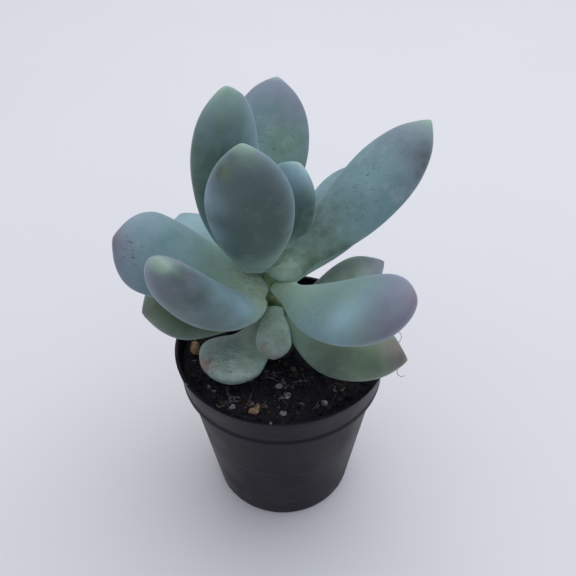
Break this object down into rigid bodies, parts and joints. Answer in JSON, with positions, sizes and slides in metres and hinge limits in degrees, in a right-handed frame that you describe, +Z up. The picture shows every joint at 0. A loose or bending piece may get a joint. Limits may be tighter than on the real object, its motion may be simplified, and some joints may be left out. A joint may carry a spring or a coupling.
{
  "type": "potted pachyphytum glutinicaule",
  "caption": "Small black tapered nursery pot filled with dark peat soil, holding a thick-leaved glaucous blue-green succulent on a short scarred stem.",
  "frame": {"origin": "centre of the pot's flat underside, on the surface that it stands on", "axes": "+Z up along the pot's axis, -Y towards the side that the picture was taken from, +X to the right in the picture"},
  "size_m": [0.0718, 0.0632, 0.1162],
  "materials": {
    "pot": "thin moulded black plastic, satin, a little dusty",
    "soil": "damp near-black peat with crumbs and fibres",
    "stem": "pale green living stem with raised leaf scars",
    "leaf_blue": "glaucous blue-green bloom, purple-tinted tips and margins, small rubbed specks",
    "leaf_green": "greener older leaf with a thinner bloom and brownish-pink marks",
    "perlite": "dull light grey, porous",
    "gravel": "dull tan, dusty"
  },
  "bodies": {
    "root": {"pot": "pot", "soil": "soil", "stem": "stem", "leaf_front_big": "leaf_blue", "leaf_crown_left": "leaf_blue", "leaf_crown_back": "leaf_blue", "leaf_crown_young": "leaf_blue", "leaf_bud": "leaf_blue", "leaf_right_long": "leaf_blue", "leaf_right_behind": "leaf_blue", "leaf_left_curled": "leaf_blue", "leaf_left_big": "leaf_blue", "leaf_left_behind": "leaf_blue", "leaf_right_front": "leaf_blue", "leaf_back_mid": "leaf_blue", "leaf_left_low": "leaf_green", "leaf_soil_left": "leaf_green", "leaf_front_stub": "leaf_green", "leaf_right_mid": "leaf_green", "leaf_right_rim": "leaf_green", "leaf_back_low": "leaf_green", "perlite_front_left": "perlite", "perlite_right": "perlite", "perlite_middle": "perlite", "perlite_centre": "perlite", "perlite_front": "perlite", "perlite_back": "perlite", "gravel_wall": "gravel", "gravel_front": "gravel"}
  },
  "joints": []
}
